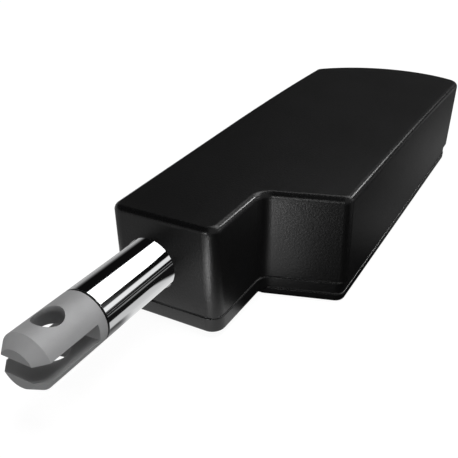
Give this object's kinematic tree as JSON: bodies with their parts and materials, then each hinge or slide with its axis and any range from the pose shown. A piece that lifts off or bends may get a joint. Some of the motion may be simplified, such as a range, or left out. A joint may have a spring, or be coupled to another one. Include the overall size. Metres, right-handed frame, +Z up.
{
  "type": "electric linear actuator",
  "caption": "Compact electric linear actuator: flat black housing with a parallel motor, chromed piston rod and slotted pin eyes at both ends.",
  "frame": {"origin": "centre of the rear pin hole", "axes": "+X along the rod towards the front eye, +Y towards the motor side, +Z up, along the pin holes"},
  "size_m": [0.3123, 0.0829, 0.0443],
  "materials": {
    "housing_plastic": "satin black, fine moulded grain",
    "cover_plastic": "satin black, fine moulded grain",
    "chrome": "polished hard chrome",
    "eye_metal": "matte grey, tumbled",
    "rubber": "matte black",
    "steel": "ground",
    "zinc_steel": "zinc plated",
    "aluminium": "drawn tube",
    "white_nylon": "natural moulded",
    "black_nylon": "moulded",
    "bronze": "sintered",
    "copper": "enamelled wire",
    "contact_brass": "plated",
    "ferrite": "sintered",
    "board": "solder resist"
  },
  "bodies": {
    "housing": {"upper_housing": "housing_plastic", "lower_cover": "cover_plastic", "base_plate": "cover_plastic", "cover_screws": "zinc_steel", "rod_guide": "black_nylon", "rod_wiper": "rubber", "guide_tube": "aluminium", "back_fixture": "eye_metal", "bearing_outer_ring": "steel", "gear_plate": "zinc_steel", "idler_pin": "steel", "motor_can": "zinc_steel", "motor_end_cap": "black_nylon", "motor_bushes": "bronze", "motor_magnets": "ferrite", "brush_holders": "contact_brass", "motor_screws": "zinc_steel", "power_socket": "black_nylon", "socket_contacts": "contact_brass", "control_board": "board", "sensor_board": "board"},
    "rotor": {"motor_shaft": "steel", "armature_core": "steel", "armature_winding": "copper", "commutator": "copper", "motor_pinion": "bronze"},
    "idler": {"idler_gear": "white_nylon"},
    "spindle_body": {"spindle": "steel", "spindle_gear": "white_nylon", "bearing_inner_ring": "steel", "bearing_lock_nut": "zinc_steel", "sensor_magnet": "ferrite"},
    "ball_set": {"bearing_balls": "steel", "bearing_cage": "bronze"},
    "rod": {"drive_nut": "white_nylon", "piston_tube": "chrome", "eye_washer": "rubber", "rod_eye": "eye_metal"}
  },
  "joints": [
    {"name": "rod_slide", "type": "slide", "parent": "housing", "child": "rod", "axis": [1, 0, 0], "range_m": [0, 0.12]},
    {"name": "spindle_spin", "type": "hinge", "parent": "housing", "child": "spindle_body", "pos_m": [0.04, 0, 0], "axis": [-1, 0, 0], "range_deg": [0, 14401]},
    {"name": "ball_roll", "type": "hinge", "parent": "housing", "child": "ball_set", "pos_m": [0.032, 0, 0], "axis": [-1, 0, 0], "range_deg": [0, 5921]},
    {"name": "idler_spin", "type": "hinge", "parent": "housing", "child": "idler", "pos_m": [0.04, 0.0211, -0.00439], "axis": [-1, 0, 0], "range_deg": [-22024.53, 0]},
    {"name": "motor_spin", "type": "hinge", "parent": "housing", "child": "rotor", "pos_m": [0.08, 0.0377, -0.0015], "axis": [-1, 0, 0], "range_deg": [0, 55059.82]}
  ],
  "couplings": [
    {"joint": "spindle_spin", "follows": "rod_slide", "rad_per_m": 2094.4},
    {"joint": "ball_roll", "follows": "rod_slide", "rad_per_m": 861.03},
    {"joint": "idler_spin", "follows": "rod_slide", "rad_per_m": -3203.2},
    {"joint": "motor_spin", "follows": "rod_slide", "rad_per_m": 8008}
  ]
}
